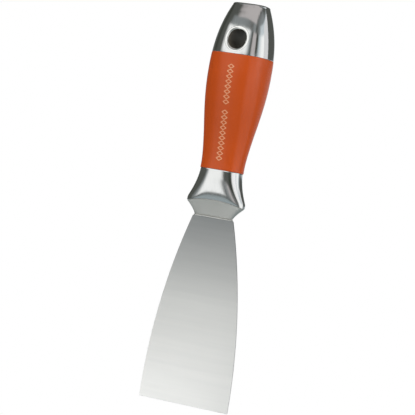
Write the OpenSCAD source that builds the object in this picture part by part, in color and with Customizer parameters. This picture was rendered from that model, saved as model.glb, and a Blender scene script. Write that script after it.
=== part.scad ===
// Flexible putty knife: a thin flared steel blade whose tang is riveted between two
// bolster cheeks, in a hollow handle of two pressed steel shells. A soft band is seated
// in a groove round the grip, and a flared eyelet lines the hang hole in the butt.
//
// Millimetres. The origin is the centre of the hang hole. +Z runs up to the butt,
// the blade points down, and the front face looks towards -Y.

/* [Blade] */
// Width across the working edge
blade_width = 50.8; // [44:0.2:56]
// Length of blade below the bolster
blade_length = 97.2; // [80:0.1:110]
// Radius of the bowed long sides
side_radius = 312; // [280:1:400]
// Distance of the widest place above the working edge
side_rise = 5; // [2:0.5:10]
// Thickness at the bolster
root_thickness = 0.9; // [0.6:0.05:1.1]
// Thickness at the working edge
edge_thickness = 0.5; // [0.3:0.05:0.6]
// Backward set of the blade against the handle, in degrees
blade_set = 2.7; // [0:0.1:5]
// Place of the bending hinge, as a share of the blade's length from the bolster
hinge_share = 0.15; // [0.1:0.01:0.2]

/* [Handle] */
// Height of the butt above the hang hole
butt_rise = 19.2; // [18:0.1:24]
// Width across the end of the butt
butt_width = 18.9; // [16:0.1:20]
// Depth across the end of the butt
butt_depth = 13.2; // [12:0.1:15]
// Width at the swell
swell_width = 32.2; // [29:0.1:36]
// Depth at the swell
swell_depth = 23.6; // [21:0.1:26]
// Distance of the swell below the hang hole
swell_drop = 16; // [14:0.5:20]
// Width at the waist
waist_width = 22.4; // [20:0.1:25]
// Depth at the waist
waist_depth = 11.6; // [11:0.1:14]
// Distance of the waist below the hang hole
waist_drop = 66; // [62:0.5:70]
// Width at the shoulder
shoulder_width = 32.2; // [28:0.1:34]
// Depth in the middle of the shoulder
shoulder_depth = 7.2; // [6.8:0.1:8]
// Thickness of the shell's sheet
wall = 1.2; // [0.8:0.1:1.4]

/* [Bolster] */
// Distance of the shoulder's corners below the hang hole
shoulder_drop = 84.9; // [83:0.1:86]
// Rise of the shell's rim between the shoulder's corners
rim_arch = 2; // [0:0.1:2.2]
// Distance of the bolster's lower edge below the hang hole
neck_drop = 92; // [90:0.5:94]
// Width at the lower edge
neck_width = 21.8; // [21:0.1:24]
// Depth over both cheeks at the lower edge
neck_depth = 1.5; // [1.4:0.05:2]

/* [Sleeve] */
// Distance of the band's upper edge below the hang hole
sleeve_top_drop = 7.7; // [7.5:0.1:12]
// Distance of the band's lower edge below the hang hole
sleeve_foot_drop = 67.4; // [64:0.1:69]
// Depth of the groove that the band sits in
groove = 1.0; // [0.6:0.1:1.1]
// Height of the band's lower edge above the steel
foot_proud = 0.35; // [0.1:0.05:0.6]

/* [Hang hole] */
// Radius of the bore
bore_radius = 5; // [4:0.1:5.5]
// Thickness of the eyelet's tube
eyelet_wall = 0.8; // [0.6:0.1:1]
// Width of the flared lip outside the tube
lip_width = 0.8; // [0.4:0.1:1.2]
// Height of the flared lip
lip_height = 0.6; // [0.4:0.1:1]

/* [Tang] */
// Width of the tang
tang_width = 16; // [12:0.2:16.4]
// Height of the tang above the bolster's lower edge
tang_height = 27; // [25:1:30]
// Radius of the rivets
rivet_radius = 1.5; // [1:0.1:2]

/* [Hidden] */

STEEL = [0.78, 0.79, 0.80];
SATIN_STEEL = [0.66, 0.66, 0.64];
ORANGE = [0.80, 0.33, 0.10];

SIDES = 20;                 // facets round half of the handle
GAP = 0.05;                 // air between the band and its groove
RIVET_GAP = 0.02;           // air round a rivet
SEAT_GAP = 0.04;            // air between the blade's round end and its seat
butt_round = 1;             // radius round the end of the butt
butt_flat = butt_rise - butt_round;
shoulder_rise = shoulder_drop - rim_arch;
shank_half = 8.6;           // half width of a cheek's shank
shank_depth = 1.8;          // reach of a shank from the middle plane
shank_rise = 20;            // height of a shank above the shoulder
rivet_rises = [8, 16];      // heights of the rivets above the shoulder
hinge_reach = hinge_share * blade_length;
seat_lift = 0.3;            // height of the root's lower corners above the hinge's axis

// ---- The handle's form -------------------------------------------------------------

function clamp01(t) = min(1, max(0, t));
function mix(a, b, t) = a + (b - a) * t;
function ease(t) = (1 - cos(180 * clamp01(t))) / 2;
function soft_min(a, b, r) = (a + b - sqrt(pow(a - b, 2) + r * r)) / 2;

// A cubic from a to b over length h, level at a and with slope s at b
function run_out(t, a, b, h, s) =
    mix(a, b, t * t * (3 - 2 * t)) + (pow(t, 3) - t * t) * h * s;

// Height up the grip, from 0 at the waist to 1 at the swell
function grip_height(z) = (z + waist_drop) / (waist_drop - swell_drop);

// Half width of the steel form at height z
function half_width(z) =
    z > -swell_drop
    ? run_out((z + swell_drop) / (butt_flat + swell_drop), swell_width / 2,
              butt_width / 2, butt_flat + swell_drop, -0.41)
    : z > -waist_drop
    ? mix(waist_width, swell_width, ease(pow(grip_height(z), 0.78))) / 2
    : soft_min(waist_width / 2 + pow(z + waist_drop, 2) / 58, shoulder_width / 2 + 0.03, 0.5);

// Half depth of the steel form at height z
function half_depth(z) =
    z > -swell_drop
    ? mix(swell_depth, butt_depth, pow((z + swell_drop) / (butt_flat + swell_drop), 3)) / 2
    : z > -waist_drop
    ? mix(waist_depth, swell_depth, ease(grip_height(z))) / 2
    : mix(waist_depth, shoulder_depth,
          pow((-z - waist_drop) / (shoulder_rise - waist_drop), 2.2)) / 2;

// Squareness of the section at height z: 2 is an ellipse, more is squarer
function squareness(z) =
    z > -waist_drop + 6
    ? mix(2.7, 3.2, clamp01((z + swell_drop) / (butt_flat + swell_drop)))
    : mix(2.7, 4, pow(clamp01((-z - waist_drop + 6) / (shoulder_drop - waist_drop + 6)), 1.6));

// The section's unit outline at angle a: x and y, both 0 to 1 in size
function unit_x(a, n) = sign(cos(a)) * pow(abs(cos(a)), 2 / n);
function unit_y(a, n) = pow(abs(sin(a)), 2 / n) * sign(sin(a));

// Height of a level that arches up by lift between the corners
function arched(z, lift, a) = z + lift * (1 - pow(unit_x(a, squareness(z)), 2));

// A point of the form at angle a on level [height, inset, lift]
function form_point(level, a) =
    let (z = arched(level[0], level[2], a),
         zz = min(z, butt_flat),
         n = squareness(zz))
    [(half_width(zz) - level[1]) * unit_x(a, n),
     -(half_depth(zz) - level[1]) * unit_y(a, n), z];

function half_ring(level) = [for (j = [0 : SIDES]) form_point(level, 180 * j / SIDES)];
function full_ring(level) = [for (j = [0 : 2 * SIDES - 1]) form_point(level, 180 * j / SIDES)];

function steps(a, b, n) = [for (i = [0 : n]) mix(a, b, i / n)];

// ---- The shells --------------------------------------------------------------------

// Levels of the outside, from the rim at the shoulder up to the butt
function outer_levels() = concat(
    [for (k = [0 : 2]) [1.7 * k - shoulder_drop, 0, rim_arch * (1 - k / 3)]],
    [for (z = steps(5.1 - shoulder_drop, 2 * wall - waist_drop - 4.8, 6)) [z, 0, 0]],
    [[-sleeve_foot_drop, 0, 0]],
    [for (z = steps(-sleeve_foot_drop, -sleeve_top_drop, 10)) [z, groove, 0]],
    [[-sleeve_top_drop, 0, 0]],
    [for (z = steps(wall - sleeve_top_drop + 2, butt_flat, 7)) [z, 0, 0]],
    [for (a = [30, 60, 90]) [butt_flat + butt_round * sin(a), butt_round * (1 - cos(a)), 0]]);

// The inside level that backs an outside level. It clears the groove's two steps.
function backing(level) =
    let (step = level[1] == 0 && level[0] == -sleeve_foot_drop ? -wall
              : level[1] == 0 && level[0] == -sleeve_top_drop ? wall
              : level[1] == groove && level[0] == -sleeve_foot_drop ? -wall
              : level[1] == groove && level[0] == -sleeve_top_drop ? wall : 0,
         top = max(0, level[0] - butt_flat))
    [level[0] + step - (top > 0 ? wall : 0), level[1] + wall, level[2]];

// The two triangles of a four-sided cell
function cell(a, b, c, d) = [[a, b, c], [a, c, d]];

module half_shell() {
    levels = outer_levels();
    rows = len(levels);
    wide = SIDES + 1;
    back = rows * wide;
    crown = 2 * back;
    points = concat(
        [for (level = levels) each half_ring(level)],
        [for (level = levels) each half_ring(backing(level))],
        [[0, 0, butt_rise], [0, 0, butt_rise - wall]]);
    faces = concat(
        [for (i = [0 : rows - 2], j = [0 : SIDES - 1])
            let (p = i * wide + j)
            each cell(p, p + 1, p + wide + 1, p + wide)],
        [for (i = [0 : rows - 2], j = [0 : SIDES - 1])
            let (p = back + i * wide + j)
            each cell(p, p + wide, p + wide + 1, p + 1)],
        [for (j = [0 : SIDES - 1]) [back - wide + j, back - wide + j + 1, crown]],
        [for (j = [0 : SIDES - 1]) [crown - wide + j, crown + 1, crown - wide + j + 1]],
        [for (j = [0 : SIDES - 1]) each cell(j, back + j, back + j + 1, j + 1)],
        [for (i = [0 : rows - 2])
            let (p = i * wide)
            each cell(p, p + wide, back + p + wide, back + p)],
        [for (i = [0 : rows - 2])
            let (p = i * wide + SIDES)
            each cell(p, back + p, back + p + wide, p + wide)],
        cell(back - wide, crown, crown + 1, crown - wide),
        cell(back - 1, crown - 1, crown + 1, crown));
    polyhedron(points, faces, convexity = 6);
}

module eyelet_hole() {
    rotate([90, 0, 0])
        cylinder(r = bore_radius + eyelet_wall + RIVET_GAP, h = 2 * swell_depth, center = true, $fn = 64);
}

module front_shell() {
    color(STEEL) difference() {
        half_shell();
        eyelet_hole();
    }
}

module rear_shell() {
    color(STEEL) difference() {
        mirror([0, 1, 0]) half_shell();
        eyelet_hole();
    }
}

// ---- The band round the grip ---------------------------------------------------------

// How far the band stands above the steel at height z
function proud(z) = mix(foot_proud, 0.05, clamp01((z + sleeve_foot_drop) / 20));

module grip_sleeve() {
    heights = steps(-sleeve_foot_drop + GAP, -sleeve_top_drop - GAP, 14);
    levels = concat(
        [for (z = heights) [z, -proud(z), 0]],
        [for (i = [len(heights) - 1 : -1 : 0]) [heights[i], groove - GAP, 0]]);
    wide = 2 * SIDES;
    rows = len(levels);
    points = [for (level = levels) each full_ring(level)];
    faces = [for (i = [0 : rows - 1], j = [0 : wide - 1])
        let (k = (i + 1) % rows, l = (j + 1) % wide)
        each cell(i * wide + j, i * wide + l, k * wide + l, k * wide + j)];
    color(ORANGE) polyhedron(points, faces, convexity = 6);
}

// ---- The hang eyelet -----------------------------------------------------------------

// Lean of the handle's face at the hang hole
face_lean = atan((half_depth(-6) - half_depth(6)) / 12);

// Places its children on the handle's front face at the hang hole, with +Z out of it
module on_face() {
    translate([0, -half_depth(0), 0]) rotate([90 - face_lean, 0, 0]) children();
}

module both_faces() {
    on_face() children();
    mirror([0, 1, 0]) on_face() children();
}

module hang_eyelet() {
    tube = bore_radius + eyelet_wall;
    long = 2 * swell_depth;
    color(STEEL) difference() {
        union() {
            rotate([90, 0, 0]) cylinder(r = tube, h = long, center = true, $fn = 64);
            both_faces() cylinder(r = tube + lip_width, h = lip_height, $fn = 64);
        }
        both_faces() translate([-long, -long, lip_height]) cube([2 * long, 2 * long, long]);
        rotate([90, 0, 0]) cylinder(r = bore_radius, h = 2 * long, center = true, $fn = 64);
    }
}

// ---- The bolster's cheeks --------------------------------------------------------------

// Half width of the bolster at height z
function cheek_width(z) = mix(neck_width, shoulder_width,
    pow(clamp01((z + neck_drop - 1) / (neck_drop - 1 - shoulder_drop)), 1.35)) / 2;

// A point of the ground bevel at angle a, from the shell's rim at t = 0 to the neck at t = 1
function cheek_point(t, a) =
    let (n = squareness(-shoulder_drop),
         rim = arched(-shoulder_drop, rim_arch, a),
         corner = mix(-shoulder_drop, -neck_drop, t))
    [cheek_width(corner) * unit_x(a, n),
     -mix(half_depth(rim), neck_depth / 2, t) * unit_y(a, n), mix(rim, -neck_drop, t)];

module cheek_wedge() {
    rows = 9;
    wide = SIDES + 1;
    points = [for (i = [0 : rows - 1], j = [0 : SIDES]) cheek_point(i / (rows - 1), 180 * j / SIDES)];
    last = (rows - 1) * wide;
    faces = concat(
        [for (i = [0 : rows - 2], j = [0 : SIDES - 1])
            let (p = i * wide + j)
            each cell(p, p + wide, p + wide + 1, p + 1)],
        [for (i = [0 : rows - 2])
            let (p = i * wide)
            each cell(p, p + SIDES, p + wide + SIDES, p + wide)],
        [for (j = [0 : SIDES / 2 - 1]) each cell(j, j + 1, SIDES - j - 1, SIDES - j)],
        [for (j = [0 : SIDES / 2 - 1])
            each cell(last + j, last + SIDES - j, last + SIDES - j - 1, last + j + 1)]);
    polyhedron(points, faces, convexity = 4);
}

module rivet_holes(radius, length) {
    for (rise = rivet_rises)
        translate([0, 0, rise - shoulder_drop]) rotate([90, 0, 0])
            cylinder(r = radius, h = length, center = true, $fn = 32);
}

module cheek() {
    difference() {
        union() {
            cheek_wedge();
            translate([-shank_half, -shank_depth, -shoulder_drop - 0.5])
                cube([2 * shank_half, shank_depth, shank_rise]);
        }
        translate([-tang_width / 2 - GAP, -root_thickness / 2, -neck_drop - 1])
            cube([tang_width + 2 * GAP, root_thickness, tang_height + 10]);
        rivet_holes(rivet_radius + RIVET_GAP, 4 * shank_depth);
    }
}

module front_bolster() {
    color(SATIN_STEEL) cheek();
}

module rear_bolster() {
    color(SATIN_STEEL) mirror([0, 1, 0]) cheek();
}

// ---- The tang, its rivets and the blade --------------------------------------------------
//
// The strip bends as if it turned about a hinge a little below the bolster. The tang's node
// holds the strip above that hinge, and the blade's node holds the strip below it.

// Half thickness of the strip at a distance below the bolster
function half_strip(reach) = mix(root_thickness, edge_thickness, reach / blade_length) / 2;

// Places its children on the blade's own line, which leans back from the bolster's lower edge
module on_blade() {
    translate([0, 0, -neck_drop]) rotate([blade_set, 0, 0]) children();
}

// The blade's outline below the bolster, between two distances from it
module blade_outline(from, to) {
    intersection() {
        translate([blade_width / 2 - side_radius, side_rise - blade_length])
            circle(r = side_radius, $fn = 360);
        translate([side_radius - blade_width / 2, side_rise - blade_length])
            circle(r = side_radius, $fn = 360);
        translate([-blade_width, -to]) square([2 * blade_width, to - from]);
    }
}

// The strip seen from the side, between two distances below the bolster
module strip_side(from, to) {
    a = half_strip(from);
    b = half_strip(to);
    polygon([[-a, -from], [-b, -to], [b, -to], [a, -from]]);
}

module strip(from, to) {
    intersection() {
        rotate([90, 0, 0]) linear_extrude(height = 4, center = true) blade_outline(from - 1, to);
        rotate([90, 0, 90]) linear_extrude(height = 2 * blade_width, center = true) union() {
            strip_side(from, to);
            children();
        }
    }
}

module hinge_round(radius) {
    translate([0, -hinge_reach]) circle(r = radius, $fn = 48);
}

module tang() {
    color(SATIN_STEEL) difference() {
        union() {
            translate([-tang_width / 2, -root_thickness / 2, -neck_drop])
                cube([tang_width, root_thickness, tang_height]);
            on_blade() strip(0, hinge_reach - seat_lift);
        }
        on_blade() translate([0, 0, -hinge_reach]) rotate([0, 90, 0])
            cylinder(r = half_strip(hinge_reach) + SEAT_GAP, h = blade_width, center = true, $fn = 48);
        rivet_holes(rivet_radius + RIVET_GAP, 4 * shank_depth);
    }
}

module tang_rivets() {
    color(STEEL) rivet_holes(rivet_radius, 2 * shank_depth);
}

module blade() {
    color(SATIN_STEEL) on_blade() strip(hinge_reach, blade_length)
        hinge_round(half_strip(hinge_reach));
}

front_shell();
rear_shell();
grip_sleeve();
hang_eyelet();
front_bolster();
rear_bolster();
tang();
tang_rivets();
blade();
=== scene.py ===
"""Flexible putty knife: the looks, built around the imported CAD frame.

Lengths are in millimetres up to the point where a mesh is made, and in metres after it.
The origin is the centre of the hang hole, +Z runs up to the butt, and the front faces -Y.
"""

import math

import bmesh
import bpy
from mathutils import Matrix, Vector


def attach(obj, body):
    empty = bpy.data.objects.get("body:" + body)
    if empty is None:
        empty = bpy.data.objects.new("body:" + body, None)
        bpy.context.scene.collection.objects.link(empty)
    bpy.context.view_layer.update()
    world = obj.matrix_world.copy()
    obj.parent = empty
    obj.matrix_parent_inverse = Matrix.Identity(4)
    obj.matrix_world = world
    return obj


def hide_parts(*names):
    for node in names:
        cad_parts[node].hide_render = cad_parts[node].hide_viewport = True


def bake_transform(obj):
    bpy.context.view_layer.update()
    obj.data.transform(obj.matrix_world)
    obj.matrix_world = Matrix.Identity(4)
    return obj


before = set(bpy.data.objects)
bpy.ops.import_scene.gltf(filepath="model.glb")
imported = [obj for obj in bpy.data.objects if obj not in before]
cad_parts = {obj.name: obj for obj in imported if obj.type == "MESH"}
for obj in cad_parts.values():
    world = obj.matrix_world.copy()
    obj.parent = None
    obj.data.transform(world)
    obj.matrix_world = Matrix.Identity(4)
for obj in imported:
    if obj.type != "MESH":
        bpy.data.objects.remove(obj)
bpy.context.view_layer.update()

MM = 0.001

# ---- Driving dimensions, the same as the CAD part's --------------------------------------

BUTT_FLAT = 18.2
BUTT_ROUND = 1.0
BUTT_WIDTH, BUTT_DEPTH = 18.9, 13.2
SWELL_Z, SWELL_WIDTH, SWELL_DEPTH = -16.0, 32.2, 23.6
WAIST_Z, WAIST_WIDTH, WAIST_DEPTH = -66.0, 22.4, 11.6
SHOULDER_Z, SHOULDER_WIDTH, SHOULDER_DEPTH = -84.9, 32.2, 7.2
RIM_ARCH = 2.0
NECK_Z, NECK_WIDTH, NECK_DEPTH = -92.0, 21.8, 1.5
WALL = 1.2
SLEEVE_TOP, SLEEVE_FOOT = -7.7, -67.4
GROOVE, FOOT_PROUD = 1.0, 0.35
BORE, TUBE = 5.0, 5.8
BLADE_WIDTH, BLADE_LENGTH = 50.8, 97.2
SIDE_RADIUS, SIDE_RISE = 312.0, 5.0
ROOT_THICK, EDGE_THICK = 0.9, 0.5
BLADE_SET = math.radians(2.7)
TANG_WIDTH, TANG_TOP = 16.0, 27.0

# ---- The handle's form -------------------------------------------------------------------

BUTT_SLOPE = -0.41  # the half width's slope at the butt's flat top
GRIP_SKEW = 0.78  # below 1, the grip fills out sooner above the waist
FLARE = 58.0  # the larger, the slower the lower shell flares out
FLARE_SOFT = 0.5  # how softly the flare runs out at the shoulder


def clamp01(t):
    return min(1.0, max(0.0, t))


def mix(a, b, t):
    return a + (b - a) * t


def ease(t):
    return (1 - math.cos(math.pi * clamp01(t))) / 2


def soft_min(a, b, r):
    """The smaller of a and b, with the corner between them rounded off by about r."""
    return (a + b - math.hypot(a - b, r)) / 2


def run_out(t, a, b, length, slope):
    """A cubic from a to b over a length, level at a and with a slope at b."""
    return mix(a, b, t * t * (3 - 2 * t)) + (t**3 - t * t) * length * slope


def grip_height(z):
    """Height up the grip, from 0 at the waist to 1 at the swell."""
    return (z - WAIST_Z) / (SWELL_Z - WAIST_Z)


def half_width(z):
    if z > SWELL_Z:
        run = BUTT_FLAT - SWELL_Z
        return run_out((z - SWELL_Z) / run, SWELL_WIDTH / 2, BUTT_WIDTH / 2, run, BUTT_SLOPE)
    if z > WAIST_Z:
        return mix(WAIST_WIDTH, SWELL_WIDTH, ease(grip_height(z) ** GRIP_SKEW)) / 2
    flared = WAIST_WIDTH / 2 + (z - WAIST_Z) ** 2 / FLARE
    return soft_min(flared, SHOULDER_WIDTH / 2 + 0.03, FLARE_SOFT)


def half_depth(z):
    if z > SWELL_Z:
        return mix(SWELL_DEPTH, BUTT_DEPTH, ((z - SWELL_Z) / (BUTT_FLAT - SWELL_Z)) ** 3) / 2
    if z > WAIST_Z:
        return mix(WAIST_DEPTH, SWELL_DEPTH, ease(grip_height(z))) / 2
    t = (WAIST_Z - z) / (WAIST_Z - SHOULDER_Z - RIM_ARCH)
    return mix(WAIST_DEPTH, SHOULDER_DEPTH, t**2.2) / 2


def squareness(z):
    """The section's shape at height z: 2 is an ellipse, more is squarer."""
    if z > WAIST_Z + 6:
        return mix(2.7, 3.2, clamp01((z - SWELL_Z) / (BUTT_FLAT - SWELL_Z)))
    return mix(2.7, 4, clamp01((WAIST_Z + 6 - z) / (WAIST_Z + 6 - SHOULDER_Z)) ** 1.6)


def unit(u, n):
    """The section's unit outline over the front half: u is -1 at the left seam, 1 at the right."""
    a = math.pi / 2 * (1 - u)
    c, s = math.cos(a), max(0.0, math.sin(a))
    return math.copysign(abs(c) ** (2 / n), c), s ** (2 / n)


def arched(z, lift, u):
    """Height z raised by lift at the middle of the face, and not at all at the seams."""
    return z + lift * (1 - unit(u, squareness(z))[0] ** 2)


def form(u, z, inset=0.0, lift=0.0):
    """A point of the handle's front half at u and height z."""
    z = arched(z, lift, u)
    zz = min(z, BUTT_FLAT)
    x, y = unit(u, squareness(zz))
    return Vector(((half_width(zz) - inset) * x, -(half_depth(zz) - inset) * y, z))


def u_at(x, z):
    """The u whose point at height z lies at x."""
    share = min(1.0, abs(x) / half_width(z)) ** (squareness(z) / 2)
    return math.copysign(1 - 2 / math.pi * math.acos(share), x)


def steps(a, b, n):
    return [mix(a, b, i / n) for i in range(n + 1)]


# ---- Mesh helpers ------------------------------------------------------------------------


def make_object(name, points, faces, material, sharp=30):
    """A mesh object from points in millimetres, smooth where faces meet at under sharp degrees."""
    mesh = bpy.data.meshes.new(name)
    mesh.from_pydata([tuple(p * MM for p in point) for point in points], [], faces)
    work = bmesh.new()
    work.from_mesh(mesh)
    bmesh.ops.remove_doubles(work, verts=work.verts, dist=1e-7)
    bmesh.ops.dissolve_degenerate(work, edges=work.edges, dist=1e-8)
    loose = [v for v in work.verts if not v.link_faces]
    bmesh.ops.delete(work, geom=loose, context="VERTS")
    bmesh.ops.recalc_face_normals(work, faces=work.faces)
    work.to_mesh(mesh)
    work.free()
    for polygon in mesh.polygons:
        polygon.use_smooth = True
    mesh.set_sharp_from_angle(angle=math.radians(sharp))
    mesh.materials.append(material)
    thing = bpy.data.objects.new(name, mesh)
    bpy.context.scene.collection.objects.link(thing)
    return thing


def grid_faces(rows, columns, start=0, wrap_rows=False, wrap_columns=False):
    """Four-sided faces over a grid of points that lie row by row from start."""
    faces = []
    for i in range(rows if wrap_rows else rows - 1):
        for j in range(columns if wrap_columns else columns - 1):
            below, beside = (i + 1) % rows, (j + 1) % columns
            corners = [(i, j), (i, beside), (below, beside), (below, j)]
            faces.append(tuple(start + row * columns + column for row, column in corners))
    return faces


def thicken(points, faces, inner):
    """Closes a sheet into a solid: inner holds the place behind each of its points.

    Points in one place count as one, so that patches of the sheet join without a wall."""
    count = len(points)
    first = {}
    same = [first.setdefault(tuple(round(c, 4) for c in p), k) for k, p in enumerate(points)]
    loops = [tuple(dict.fromkeys(same[v] for v in face)) for face in faces]
    faces = [loop for loop in loops if len(loop) > 2]
    uses = {}
    for face in faces:
        for a, b in zip(face, face[1:] + face[:1]):
            edge = (min(a, b), max(a, b))
            uses[edge] = uses.get(edge, 0) + 1
    rim = [edge for edge, number in uses.items() if number == 1]
    back = [tuple(count + v for v in reversed(face)) for face in faces]
    sides = [(b, a, count + a, count + b) for a, b in rim]
    return points + inner, faces + back + sides


def mirrored(points):
    """The same points for the tool's other face, half a turn about Z away."""
    return [Vector((-p[0], -p[1], p[2])) for p in points]


# ---- Materials ---------------------------------------------------------------------------


class Shader:
    """A material with one Principled shader, and short calls for the nodes that feed it."""

    def __init__(self, name, **sockets):
        self.material = bpy.data.materials.new(name)
        self.material.use_nodes = True
        self.tree = self.material.node_tree
        self.principled = self.tree.nodes["Principled BSDF"]
        for socket, value in sockets.items():
            self.principled.inputs[socket.replace("_", " ")].default_value = value
        self.place = self.node("ShaderNodeTexCoord").outputs["Object"]

    def node(self, kind, **settings):
        made = self.tree.nodes.new(kind)
        for key, value in settings.items():
            setattr(made, key, value)
        return made

    def feed(self, socket, value):
        if isinstance(value, bpy.types.NodeSocket):
            self.tree.links.new(value, socket)
        else:
            socket.default_value = value

    def noise(self, stretch=(1, 1, 1), scale=100.0, detail=2.0, roughness=0.5):
        """Noise from 0 to 1, in grains per metre, finer along the axes with a larger stretch."""
        mapping = self.node("ShaderNodeMapping")
        mapping.inputs["Scale"].default_value = stretch
        self.feed(mapping.inputs["Vector"], self.place)
        made = self.node("ShaderNodeTexNoise")
        self.feed(made.inputs["Vector"], mapping.outputs["Vector"])
        made.inputs["Scale"].default_value = scale
        made.inputs["Detail"].default_value = detail
        made.inputs["Roughness"].default_value = roughness
        return made.outputs["Fac"]

    def ranged(self, value, low, high, start=0.3, stop=0.7):
        """Maps start..stop of a value to low..high."""
        made = self.node("ShaderNodeMapRange")
        self.feed(made.inputs["Value"], value)
        numbers = {"From Min": start, "From Max": stop, "To Min": low, "To Max": high}
        for key, number in numbers.items():
            made.inputs[key].default_value = number
        return made.outputs["Result"]

    def tint(self, factor, one, two):
        """Mixes two colours, each given as a triple or as another tint."""
        made = self.node("ShaderNodeMix", data_type="RGBA")
        self.feed(made.inputs["Factor"], factor)
        for slot, colour in (("A", one), ("B", two)):
            plain = isinstance(colour, tuple)
            self.feed(made.inputs[slot], (*colour, 1) if plain else colour)
        return made.outputs["Result"]

    def height(self, socket):
        """One coordinate of the tool's own frame, in metres."""
        split = self.node("ShaderNodeSeparateXYZ")
        self.feed(split.inputs["Vector"], self.place)
        return split.outputs[socket]

    def bump(self, *layers):
        """Stacks bump layers of (height, depth in metres)."""
        normal = None
        for value, depth in layers:
            made = self.node("ShaderNodeBump")
            made.inputs["Distance"].default_value = depth
            self.feed(made.inputs["Height"], value)
            if normal is not None:
                self.feed(made.inputs["Normal"], normal)
            normal = made.outputs["Normal"]
        self.feed(self.principled.inputs["Normal"], normal)

    def set(self, socket, value):
        self.feed(self.principled.inputs[socket], value)


def polished_steel():
    s = Shader("polished_steel", Metallic=1.0)
    wipe = s.noise(stretch=(1, 1, 0.12), scale=1400, detail=3)
    cloud = s.noise(scale=70, detail=2)
    s.set("Base Color", s.tint(cloud, (0.80, 0.80, 0.80), (0.85, 0.86, 0.87)))
    s.set("Roughness", s.ranged(wipe, 0.07, 0.13))
    s.bump((s.noise(scale=60, detail=0), 0.000012), (wipe, 0.0000008))
    return s.material


def bright_plate():
    s = Shader("bright_plate", Metallic=1.0)
    wear = s.noise(scale=1600, detail=3)
    s.set("Base Color", s.tint(wear, (0.93, 0.93, 0.91), (0.97, 0.97, 0.96)))
    s.set("Roughness", s.ranged(wear, 0.10, 0.20))
    s.bump((wear, 0.000001))
    return s.material


def satin_steel():
    s = Shader("satin_steel", Metallic=1.0)
    grain = s.noise(stretch=(0.03, 1, 1), scale=5200, detail=3, roughness=0.6)
    cloud = s.noise(scale=120, detail=3)
    s.set("Base Color", s.tint(cloud, (0.63, 0.62, 0.59), (0.69, 0.68, 0.65)))
    s.set("Roughness", s.ranged(grain, 0.36, 0.50))
    s.bump((grain, 0.000012))
    return s.material


def blade_steel():
    s = Shader("blade_steel", Metallic=1.0, Anisotropic=0.75)
    grain = s.noise(stretch=(0.012, 1, 1), scale=3000, detail=4, roughness=0.65)
    band = s.noise(stretch=(0.02, 1, 1), scale=420, detail=2)
    # Painted shade: the base colour is dark at the blade's root by the bolster. It fades to the plain
    # steel colour over the 45 mm below the neck.
    painted_shade_fade = s.ranged(s.height("Z"), 0.0, 1.0, start=NECK_Z * MM, stop=(NECK_Z - 45) * MM)
    painted_shade_root = s.tint(band, (0.335, 0.345, 0.35), (0.375, 0.385, 0.39))
    ground = s.tint(band, (0.72, 0.725, 0.715), (0.77, 0.77, 0.755))
    s.set("Base Color", s.tint(painted_shade_fade, painted_shade_root, ground))
    s.set("Roughness", s.ranged(grain, 0.36, 0.46))
    s.bump((grain, 0.000003), (band, 0.000002))
    lay = s.node("ShaderNodeTangent", direction_type="UV_MAP", uv_map="grain")
    s.set("Tangent", lay.outputs["Tangent"])
    return s.material


def orange_rubber():
    s = Shader("orange_rubber", Specular_IOR_Level=0.4)
    fine = s.noise(scale=5200, detail=3)
    cloud = s.noise(scale=110, detail=3)
    s.set("Base Color", s.tint(cloud, (0.56, 0.078, 0.009), (0.62, 0.090, 0.011)))
    s.set("Roughness", s.ranged(fine, 0.20, 0.30))
    s.bump((s.noise(scale=900, detail=2), 0.000008), (fine, 0.000004))
    return s.material


def pale_ink():
    s = Shader("pale_ink")
    fleck = s.noise(scale=3000, detail=3)
    s.set("Base Color", s.tint(fleck, (0.86, 0.42, 0.22), (0.92, 0.55, 0.32)))
    s.set("Roughness", s.ranged(fleck, 0.4, 0.6))
    return s.material


def painted_shade_bore():
    # Painted shade: the walls of the hang hole are coloured dark, standing in for the shade inside the
    # hole, with a random mottle.
    s = Shader("painted_shade_bore", Metallic=0.5)
    bore_mottle = s.noise(scale=900, detail=4)
    s.set("Base Color", s.tint(bore_mottle, (0.13, 0.115, 0.09), (0.20, 0.18, 0.145)))
    s.set("Roughness", s.ranged(bore_mottle, 0.45, 0.65))
    s.bump((bore_mottle, 0.00002))
    return s.material


POLISHED = polished_steel()
BRIGHT = bright_plate()
SATIN = satin_steel()
BLADE_STEEL = blade_steel()
RUBBER = orange_rubber()
INK = pale_ink()
BORE_PAINTED_SHADE = painted_shade_bore()

# ---- The two shells ----------------------------------------------------------------------

ACROSS = 112  # cells from seam to seam
UPRIGHT = 60  # cells up the butt's sides
OUTWARD = 34  # cells from the hole to the butt's edge
HOLE_LIP = 6.45  # radius at which the shell dives under the eyelet's lip
ARCH_Z = -79.0  # height at which the flare's rows begin to arch towards the rim


def butt_edge():
    """The outline of the butt's side as (u, z), anticlockwise from its lower left corner."""
    low, high = SLEEVE_TOP, BUTT_FLAT
    bottom = [(u, low) for u in steps(-1, 1, ACROSS)]
    right = [(1, z) for z in steps(low, high, UPRIGHT)]
    top = [(u, high) for u in steps(1, -1, ACROSS)]
    left = [(-1, z) for z in steps(high, low, UPRIGHT)]
    return bottom[:-1] + right[:-1] + top[:-1] + left[:-1]


def butt_side(place):
    """Rings of points from the hang hole out to the edge of the butt's side."""
    points = []
    for i in range(OUTWARD + 1):
        share = (i / OUTWARD) ** 1.4
        for u, z in butt_edge():
            reach = form(u, z)
            chord = math.hypot(reach.x, reach.y + half_depth(z))
            turn = math.atan2(z, math.copysign(chord, u))
            x, rise = HOLE_LIP * math.cos(turn), HOLE_LIP * math.sin(turn)
            points.append(place(mix(u_at(x, rise), u, share), mix(rise, z, share)))
    return points


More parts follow.
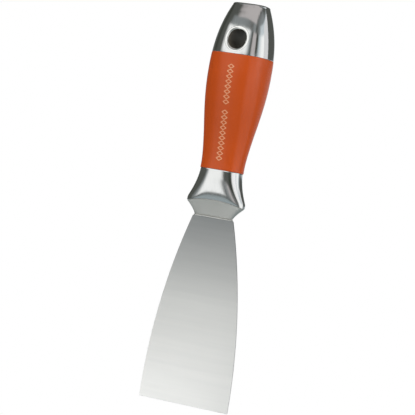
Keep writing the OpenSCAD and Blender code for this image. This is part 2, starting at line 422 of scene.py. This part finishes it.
def butt_top(place):
    """Rows of points over the butt's rounded top edge, then across its flat top to the seam."""
    points = []
    for a in range(0, 91, 15):
        rise = BUTT_ROUND * math.sin(math.radians(a))
        inset = BUTT_ROUND * (1 - math.cos(math.radians(a)))
        points += [place(u, BUTT_FLAT + rise, inset) for u in steps(-1, 1, ACROSS)]
    flat = points[-ACROSS - 1:]
    for share in steps(1, 0, 8)[1:]:
        points += [Vector((p.x, p.y * share, p.z)) for p in flat]
    return points


def below_butt(place):
    """Rows of points down the sleeve's groove and over the flare to the shoulder."""
    lip = [(0.06, 0.03), (0.1, 0.15)]  # (way into the groove, depth) round the groove's edges
    levels = [(SLEEVE_TOP, 0, 0)] + [(SLEEVE_TOP - way, depth, 0) for way, depth in lip]
    levels += [(z, GROOVE, 0) for z in steps(SLEEVE_TOP - 0.1, SLEEVE_FOOT + 0.1, 60)]
    levels += [(SLEEVE_FOOT + way, depth, 0) for way, depth in reversed(lip)]
    levels += [(z, 0, 0) for z in steps(SLEEVE_FOOT, ARCH_Z, 26)]
    levels += [(mix(ARCH_Z, SHOULDER_Z + 0.12, t), 0, RIM_ARCH * t) for t in steps(0, 1, 18)[1:]]
    levels += [(SHOULDER_Z + 0.05, 0.1, RIM_ARCH), (SHOULDER_Z, 0.3, RIM_ARCH)]
    return [place(u, *level) for level in levels for u in steps(-1, 1, ACROSS)]


def shell_sheet(place):
    """The front shell as one sheet: place(u, z, inset, lift) says where each point goes."""
    points = butt_side(place)
    faces = grid_faces(OUTWARD + 1, len(butt_edge()), wrap_columns=True)
    for rows in (butt_top(place), below_butt(place)):
        faces += grid_faces(len(rows) // (ACROSS + 1), ACROSS + 1, start=len(points))
        points += rows
    return points, faces


def outside(u, z, inset=0, lift=0):
    return form(u, z, inset, lift)


def inside(u, z, inset=0, lift=0):
    """Behind the outside, by the sheet and the groove together, so that the back is plain."""
    top = max(0.0, z - BUTT_FLAT)
    drop = WALL * min(1.0, top / BUTT_ROUND)
    return form(u, z - drop, GROOVE + WALL + (inset if top else 0), lift)


def shells():
    """The front pressing and its copy half a turn round."""
    outer, faces = shell_sheet(outside)
    inner, _ = shell_sheet(inside)
    points, solid = thicken(outer, faces, inner)
    for name, body in (("front", points), ("rear", mirrored(points))):
        piece = make_object(f"{name}_shell_polished", body, solid, POLISHED, sharp=28)
        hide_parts(f"{name}_shell")
        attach(piece, "handle")


# ---- The hang eyelet ---------------------------------------------------------------------

TUBE_SUNK = 1.2  # depth under the handle's face at which the tube's plain walls end


def face_depth(x, z):
    """Depth of the handle's face at a place beside the hang hole."""
    return -form(u_at(x, z), z).y


def eyelet_ring(radius, share, rise):
    """Points round the hole, at a share of the way out to the handle's face and a rise over it."""
    points = []
    for a in range(0, 360, 3):
        x, z = radius * math.cos(math.radians(a)), radius * math.sin(math.radians(a))
        points.append(Vector((x, share * (-face_depth(x, z) - rise), z)))
    return points


def eyelet():
    """A tube through the butt, rolled out over the handle's face at both ends."""
    # The roll's section as (radius, rise over the face), from its outer edge into the bore.
    roll = [(6.75, -0.06), (6.65, 0.015), (6.5, 0.02), (6.3, 0.0), (6.05, -0.04), (5.8, -0.09)]
    roll += [(5.55, -0.15), (5.35, -0.21), (5.2, -0.29), (5.09, -0.42), (5.02, -0.65), (BORE, -1.0)]
    rings = [eyelet_ring(TUBE + 0.01, share, -TUBE_SUNK) for share in steps(0, 1, 4)]
    rings += [eyelet_ring(radius, 1, rise) for radius, rise in roll]
    rings += [eyelet_ring(BORE, share, -TUBE_SUNK) for share in steps(1, 0, 10)]
    points = [p for ring in rings for p in ring]
    near = grid_faces(len(rings), len(rings[0]), wrap_columns=True)
    far = [tuple(len(points) + v for v in face) for face in near]
    both = points + mirrored(points)
    piece = make_object("hang_eyelet_rolled", both, near + far, BRIGHT, sharp=50)
    # The faces inside the bore take the material with the painted shade.
    piece.data.materials.append(BORE_PAINTED_SHADE)
    for polygon in piece.data.polygons:
        if math.hypot(polygon.center.x, polygon.center.z) < (BORE + 0.06) * MM:
            polygon.material_index = 1
    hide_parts("hang_eyelet")
    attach(piece, "handle")


# ---- The band round the grip -------------------------------------------------------------


def proud(z):
    """How far the band stands out of the handle's form at height z."""
    return mix(FOOT_PROUD, 0.05, clamp01((z - SLEEVE_FOOT) / 20))


def sleeve():
    """The rubber band, as a closed section of (z, inset) carried right round the handle."""
    top, foot, soft, lip = SLEEVE_TOP - 0.12, SLEEVE_FOOT + 0.08, 0.3, 0.55
    turns = [(math.cos(math.radians(a)), math.sin(math.radians(a))) for a in (0, 22, 45, 68, 90)]
    levels = [(top, lip)]
    levels += [(top - soft * (1 - c), soft * (1 - s) - proud(top)) for c, s in turns]
    levels += [(z, -proud(z)) for z in steps(top - soft, foot + soft, 110)[1:-1]]
    levels += [(foot + soft * (1 - s), soft * (1 - c) - proud(foot)) for c, s in turns]
    levels += [(foot, lip)]
    levels += [(z, GROOVE - 0.02) for z in steps(foot, top, 40)]
    half = steps(1, -1, ACROSS)
    points = []
    for z, inset in levels:
        front = [form(u, z, inset) for u in half]
        points += front + mirrored(front[1:-1])
    wide = 2 * ACROSS
    faces = grid_faces(len(levels), wide, wrap_rows=True, wrap_columns=True)
    piece = make_object("grip_sleeve_rubber", points, faces, RUBBER, sharp=45)
    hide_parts("grip_sleeve")
    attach(piece, "handle")


def lozenge(middle, scale):
    """Sixteen points round a lozenge on the band's face, just over its surface."""
    tall, wide, lift = 1.25 * scale, 1.9 * scale, 0.02
    corners = [(0, tall), (wide, 0), (0, -tall), (-wide, 0)]
    points = []
    for (ax, az), (bx, bz) in zip(corners, corners[1:] + corners[:1]):
        for t in steps(0, 1, 4)[:-1]:
            x, z = mix(ax, bx, t), middle + mix(az, bz, t)
            points.append(form(u_at(x, z), z, -proud(z) - lift))
    return points


def ornament():
    """Two groups of outlined lozenges down the band's face, printed in pale ink."""
    top, foot, gap, hollow = -14.5, -61.5, -35.4, 0.66
    points, faces = [], []
    for middle in steps(top, foot, 18):
        if abs(middle - gap) < 1.5:
            continue
        rings = [lozenge(middle, scale) for scale in (1, hollow)]
        faces += grid_faces(2, len(rings[0]), start=len(points), wrap_columns=True)
        points += rings[0] + rings[1]
    back = [Vector((p.x, p.y + 0.1, p.z)) for p in points]
    solid_points, solid = thicken(points, faces, back)
    piece = make_object("grip_lozenges", solid_points, solid, INK)
    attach(piece, "handle")


# ---- The bolster's cheeks ----------------------------------------------------------------


def cheek_width(z):
    """The cheeks' half width at height z, hollow between the shoulder and the neck."""
    t = clamp01((z - NECK_Z - 1) / (SHOULDER_Z - NECK_Z - 1))
    return mix(NECK_WIDTH, SHOULDER_WIDTH, t**1.35) / 2


def cheek_point(t, u, swell=0.0):
    """On the ground bevel: t is 0 at the shell's rim and 1 at the neck."""
    n = squareness(SHOULDER_Z)
    x, y = unit(u, n)
    rim = arched(SHOULDER_Z, RIM_ARCH, u)
    corner = mix(SHOULDER_Z, NECK_Z, t)
    depth = mix(half_depth(rim), NECK_DEPTH / 2, t) + swell
    return Vector(((cheek_width(corner) + swell) * x, -depth * y, mix(rim, NECK_Z, t)))


def cheeks():
    """The two ground cheeks, with a fine groove and a rounded bead above the neck."""
    # Each row is (share of the way from the rim to the neck, how far it stands out).
    rows = [(0.0, -0.35), (0.02, -0.2)] + [(t, 0.0) for t in steps(0.032, 0.86, 36)]
    rows += [(0.868, -0.22), (0.905, -0.26), (0.915, 0.0), (0.93, 0.14), (0.952, 0.2)]
    rows += [(0.975, 0.16), (0.99, 0.06), (1.0, -0.05)]
    us = steps(-1, 1, ACROSS)
    outer = [cheek_point(t, u, swell) for t, swell in rows for u in us]
    seam, pocket, pocket_half = -0.004, -ROOT_THICK / 2 - 0.03, TANG_WIDTH / 2 + 0.3
    depths = [pocket if abs(p.x) < pocket_half else seam for p in outer]
    inner = [Vector((p.x, max(p.y, depth), p.z)) for p, depth in zip(outer, depths)]
    points, solid = thicken(outer, grid_faces(len(rows), len(us)), inner)
    for name, body in (("front", points), ("rear", mirrored(points))):
        piece = make_object(f"{name}_bolster_ground", body, solid, SATIN, sharp=32)
        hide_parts(f"{name}_bolster")
        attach(piece, "handle")


# ---- The blade, one strip from its tang to its working edge ------------------------------


def blade_half_width(reach):
    """Half the blade's width at a distance below the bolster, on the arc of its sides."""
    rise = BLADE_LENGTH - SIDE_RISE - reach
    return BLADE_WIDTH / 2 - SIDE_RADIUS + math.sqrt(SIDE_RADIUS**2 - rise**2)


def strip_section(reach, half, thick, trim=0.0):
    """One turn round the strip at a distance below the bolster, with its corners broken."""
    chamfer = 0.07
    back = thick / 2 - trim
    front = [(x, -back) for x in steps(-half + chamfer + trim, half - chamfer - trim, 40)]
    rear = [(-x, -y) for x, y in front]
    turn = front + [(half - trim, -back + chamfer), (half - trim, back - chamfer)]
    turn += rear + [(-half + trim, back - chamfer), (-half + trim, -back + chamfer)]
    return [Vector((x, y, -reach)) for x, y in turn]


def blade():
    """The tang and the blade as one strip, which bends below the bolster."""
    lean = Matrix.Rotation(BLADE_SET, 3, "X")
    neck = Vector((0, 0, NECK_Z))
    sections = []
    for rise in steps(TANG_TOP, 0.02, 8):
        sections.append([neck + p for p in strip_section(-rise, TANG_WIDTH / 2, ROOT_THICK)])
    reaches = steps(0.02, 1.2, 3) + steps(2, BLADE_LENGTH - 0.1, 110)
    for reach in reaches:
        thick = mix(ROOT_THICK, EDGE_THICK, reach / BLADE_LENGTH)
        sections.append([neck + lean @ p for p in strip_section(reach, blade_half_width(reach), thick)])
    last = strip_section(BLADE_LENGTH, blade_half_width(BLADE_LENGTH), EDGE_THICK, trim=0.08)
    sections.append([neck + lean @ p for p in last])
    wide = len(sections[0])
    points = [p for section in sections for p in section]
    faces = grid_faces(len(sections), wide, wrap_columns=True)
    for start in (0, len(points) - wide):
        ring = [start + (k - 1) % wide for k in range(wide)]
        front, rear = ring[:wide // 2], ring[wide // 2:][::-1]
        faces += zip(front, front[1:], rear[1:], rear)
    piece = make_object("blade_spring_steel", points, faces, BLADE_STEEL, sharp=25)
    grain = piece.data.uv_layers.new(name="grain")
    for loop in piece.data.loops:
        spot = piece.data.vertices[loop.vertex_index].co
        grain.data[loop.index].uv = (spot.z * 5 + 1, spot.x * 5 + 0.5)
    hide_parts("blade", "tang")
    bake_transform(piece)


def rivets():
    """The rivets stay as the CAD part has them, hidden in the handle, in satin steel."""
    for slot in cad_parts["tang_rivets"].material_slots:
        slot.material = SATIN


shells()
eyelet()
sleeve()
ornament()
cheeks()
blade()
rivets()

# ---- Camera ------------------------------------------------------------------------------


def camera():
    """The eye, 25 degrees round to the right of the front face and almost level with the tool."""
    azimuth, elevation, roll = math.radians(25), math.radians(-1), math.radians(10.4)
    target = Vector((-3.5, -1.6, -87.2)) * MM
    distance = 1.115
    back = Vector((math.sin(azimuth) * math.cos(elevation),
                   -math.cos(azimuth) * math.cos(elevation), math.sin(elevation)))
    right = Vector((math.cos(azimuth), math.sin(azimuth), 0))
    up = back.cross(right)
    side = right * math.cos(roll) + up * math.sin(roll)
    top = up * math.cos(roll) - right * math.sin(roll)
    data = bpy.data.cameras.new("camera")
    data.sensor_width = 36
    data.lens = 188.6
    data.clip_start, data.clip_end = 0.05, 50
    eye = bpy.data.objects.new("camera", data)
    turn = Matrix((side, top, back)).transposed().to_4x4()
    eye.matrix_world = Matrix.Translation(target + back * distance) @ turn
    bpy.context.scene.collection.objects.link(eye)
    bpy.context.scene.camera = eye


# ---- Floor and light ---------------------------------------------------------------------


def studio_world():
    """Soft boxes and dark gaps round the tool. What the camera sees past it is plain white."""
    world = bpy.data.worlds.new("studio")
    world.use_nodes = True
    tree = world.node_tree
    nodes, link = tree.nodes, tree.links.new
    nodes.clear()

    def math_node(kind, *values):
        made = nodes.new("ShaderNodeMath")
        made.operation = kind
        for slot, value in zip(made.inputs, values):
            if isinstance(value, bpy.types.NodeSocket):
                link(value, slot)
            else:
                slot.default_value = value
        return made.outputs[0]

    way = nodes.new("ShaderNodeTexCoord")
    split = nodes.new("ShaderNodeSeparateXYZ")
    link(way.outputs["Generated"], split.inputs["Vector"])
    x, y, z = split.outputs
    turn = math_node("DEGREES", math_node("ARCTAN2", x, math_node("MULTIPLY", y, -1)))
    around = math_node("DIVIDE", math_node("ADD", turn, 180), 360)
    height = math_node("DEGREES", math_node("ARCSINE", z))

    colour = None
    for low, high, stops in ROOM:
        here = ramp(nodes, [((angle + 180) / 360, shade) for angle, shade in stops])
        link(around, here.inputs["Fac"])
        if colour is None:
            colour = here.outputs["Color"]
            continue
        step = nodes.new("ShaderNodeMapRange")
        step.interpolation_type = "SMOOTHSTEP"
        link(height, step.inputs["Value"])
        step.inputs["From Min"].default_value = low
        step.inputs["From Max"].default_value = high
        layer = nodes.new("ShaderNodeMix")
        layer.data_type = "RGBA"
        link(step.outputs["Result"], layer.inputs["Factor"])
        link(colour, layer.inputs["A"])
        link(here.outputs["Color"], layer.inputs["B"])
        colour = layer.outputs["Result"]

    lit = nodes.new("ShaderNodeBackground")
    link(colour, lit.inputs["Color"])
    plain = nodes.new("ShaderNodeBackground")
    plain.inputs["Color"].default_value = (1, 1, 1, 1)
    ray = nodes.new("ShaderNodeLightPath")
    choose = nodes.new("ShaderNodeMixShader")
    link(ray.outputs["Is Camera Ray"], choose.inputs["Fac"])
    link(lit.outputs[0], choose.inputs[1])
    link(plain.outputs[0], choose.inputs[2])
    out = nodes.new("ShaderNodeOutputWorld")
    link(choose.outputs[0], out.inputs["Surface"])
    bpy.context.scene.world = world


def ramp(nodes, stops):
    """A colour ramp with the given (place, colour) stops."""
    made = nodes.new("ShaderNodeValToRGB")
    made.color_ramp.interpolation = "LINEAR"
    elements = made.color_ramp.elements
    while len(elements) > 1:
        elements.remove(elements[-1])
    elements[0].position, elements[0].color = stops[0][0], (*stops[0][1], 1)
    for place, colour in stops[1:]:
        elements.new(place).color = (*colour, 1)
    return made


WHITE, COOL, PINK = (1.02, 1.03, 1.01), (0.60, 0.66, 0.68), (0.51, 0.48, 0.47)
BLACK, DARK, DIM = (0.045, 0.05, 0.04), (0.09, 0.095, 0.085), (0.24, 0.26, 0.26)
SMOKE, GROUND = (0.155, 0.16, 0.155), (0.32, 0.37, 0.38)
# The room as layers from the ground to the ceiling. Each layer starts between two elevations
# in degrees, and lists its light by the direction round the tool, 0 in front, 90 on the right.
ROOM = [
    (-90, -90, [(-180, GROUND), (180, GROUND)]),
    (-24, -22, [(-180, BLACK), (180, DIM)]),
    (-21, -19, [
        (-180, COOL), (-168, COOL), (-155, DIM), (-110, DARK), (-50, DARK), (-40, DIM), (-34, WHITE),
        (-24, WHITE), (-20, SMOKE), (-16, DIM), (-9, PINK), (-4, SMOKE), (8, SMOKE), (18, WHITE),
        (88, WHITE), (104, DIM), (150, DIM), (165, COOL), (180, COOL)]),
    (-8, -5, [
        (-180, COOL), (-168, COOL), (-155, DIM), (-110, DARK), (-46, DARK), (-40, DIM), (-34, WHITE),
        (-22, WHITE), (-17, DARK), (-6, DARK), (0, BLACK), (9, BLACK), (19, WHITE), (88, WHITE),
        (104, DIM), (150, DIM), (165, COOL), (180, COOL)]),
    (5, 9, [
        (-180, DIM), (-110, DARK), (-88, BLACK), (-66, DARK), (-53, DARK), (-43, WHITE), (-10, WHITE),
        (0, DIM), (6, BLACK), (11, PINK), (26, PINK), (31, BLACK), (38, BLACK), (52, COOL),
        (74, WHITE), (97, WHITE), (112, COOL), (124, DIM), (146, DARK), (180, DARK)]),
    (24, 27, [
        (-180, DARK), (-88, BLACK), (-62, DARK), (-50, DARK), (-38, DIM), (-28, DIM), (-8, SMOKE),
        (0, SMOKE), (8, DIM), (16, DIM), (24, DARK), (34, SMOKE), (46, DIM), (66, COOL), (122, COOL),
        (142, DARK), (180, DARK)]),
    (34, 36, [(-180, DARK), (-37, DARK), (-32, PINK), (16, PINK), (27, SMOKE), (60, DIM), (100, DIM),
              (118, DARK), (180, DARK)]),
    (40, 43, [(-180, DARK), (-41, DARK), (-36, PINK), (20, PINK), (35, SMOKE), (84, DIM), (98, DARK),
              (180, DARK)]),
    (45, 48, [(-180, DARK), (-43, DARK), (-38, PINK), (34, PINK), (46, SMOKE), (84, SMOKE),
              (98, DARK), (180, DARK)]),
    (50, 53, [(-180, DARK), (-30, DARK), (-14, PINK), (60, PINK), (86, DARK), (180, DARK)]),
    (58, 66, [(-180, DARK), (180, DARK)]),
]


def floor():
    """A plain pale floor well below the tool, as white as the wall behind it to the camera."""
    mesh = bpy.data.meshes.new("floor")
    half, level = 6.0, -0.9
    corners = [(-half, -half), (half, -half), (half, half), (-half, half)]
    mesh.from_pydata([(x, y, level) for x, y in corners], [], [(0, 1, 2, 3)])
    thing = bpy.data.objects.new("floor", mesh)
    material = bpy.data.materials.new("floor_white")
    material.use_nodes = True
    nodes, link = material.node_tree.nodes, material.node_tree.links.new
    grey = nodes["Principled BSDF"]
    grey.inputs["Base Color"].default_value = (0.5, 0.5, 0.5, 1)
    grey.inputs["Roughness"].default_value = 0.9
    glow = nodes.new("ShaderNodeEmission")
    ray = nodes.new("ShaderNodeLightPath")
    choose = nodes.new("ShaderNodeMixShader")
    link(ray.outputs["Is Camera Ray"], choose.inputs["Fac"])
    link(grey.outputs[0], choose.inputs[1])
    link(glow.outputs[0], choose.inputs[2])
    link(choose.outputs[0], nodes["Material Output"].inputs["Surface"])
    mesh.materials.append(material)
    thing.visible_glossy = False
    bpy.context.scene.collection.objects.link(thing)


def card(name, centre, size, glow, aim):
    """A soft box that shows only as a reflection."""
    mesh = bpy.data.meshes.new(name)
    w, h = size[0] / 2, size[1] / 2
    mesh.from_pydata([(-w, -h, 0), (w, -h, 0), (w, h, 0), (-w, h, 0)], [], [(0, 1, 2, 3)])
    thing = bpy.data.objects.new(name, mesh)
    thing.location = centre
    thing.rotation_euler = (Vector(aim) - Vector(centre)).to_track_quat("Z", "Y").to_euler()
    material = bpy.data.materials.new(name)
    material.use_nodes = True
    nodes = material.node_tree.nodes
    lamp = nodes.new("ShaderNodeEmission")
    lamp.inputs["Strength"].default_value = glow
    material.node_tree.links.new(lamp.outputs[0], nodes["Material Output"].inputs["Surface"])
    mesh.materials.append(material)
    thing.visible_camera = False
    thing.visible_diffuse = False
    thing.visible_shadow = False
    bpy.context.scene.collection.objects.link(thing)


def soft_light(name, place, size, power, aim=(0, 0, -0.08)):
    """A lamp for the rubber and the print. The polished steel shows the room, and no lamp."""
    data = bpy.data.lights.new(name, "AREA")
    data.shape = "RECTANGLE"
    data.size, data.size_y = size
    data.energy = power
    lamp = bpy.data.objects.new(name, data)
    lamp.location = place
    lamp.visible_glossy = False
    lamp.rotation_euler = (Vector(aim) - Vector(place)).to_track_quat("-Z", "Y").to_euler()
    bpy.context.scene.collection.objects.link(lamp)


camera()
studio_world()
floor()
card("blade_card", (-0.08, -0.085, -0.24), (0.16, 0.07), 2.05, aim=(0, 0.004, -0.18))
card("butt_card", (0.21, 0.107, 0.088), (0.18, 0.12), 0.75, aim=(0, 0, 0.01))
card("shoulder_card", (0.155, -0.185, -0.015), (0.12, 0.08), 1.0, aim=(0, 0, -0.078))
soft_light("key", (-0.9, -1.1, 0.9), (0.7, 0.7), 15)
soft_light("fill", (1.1, -0.5, 0.4), (0.7, 0.7), 8)
soft_light("back", (-0.1, 1.3, 0.4), (0.9, 0.9), 9)
bpy.context.scene.view_settings.view_transform = "Standard"
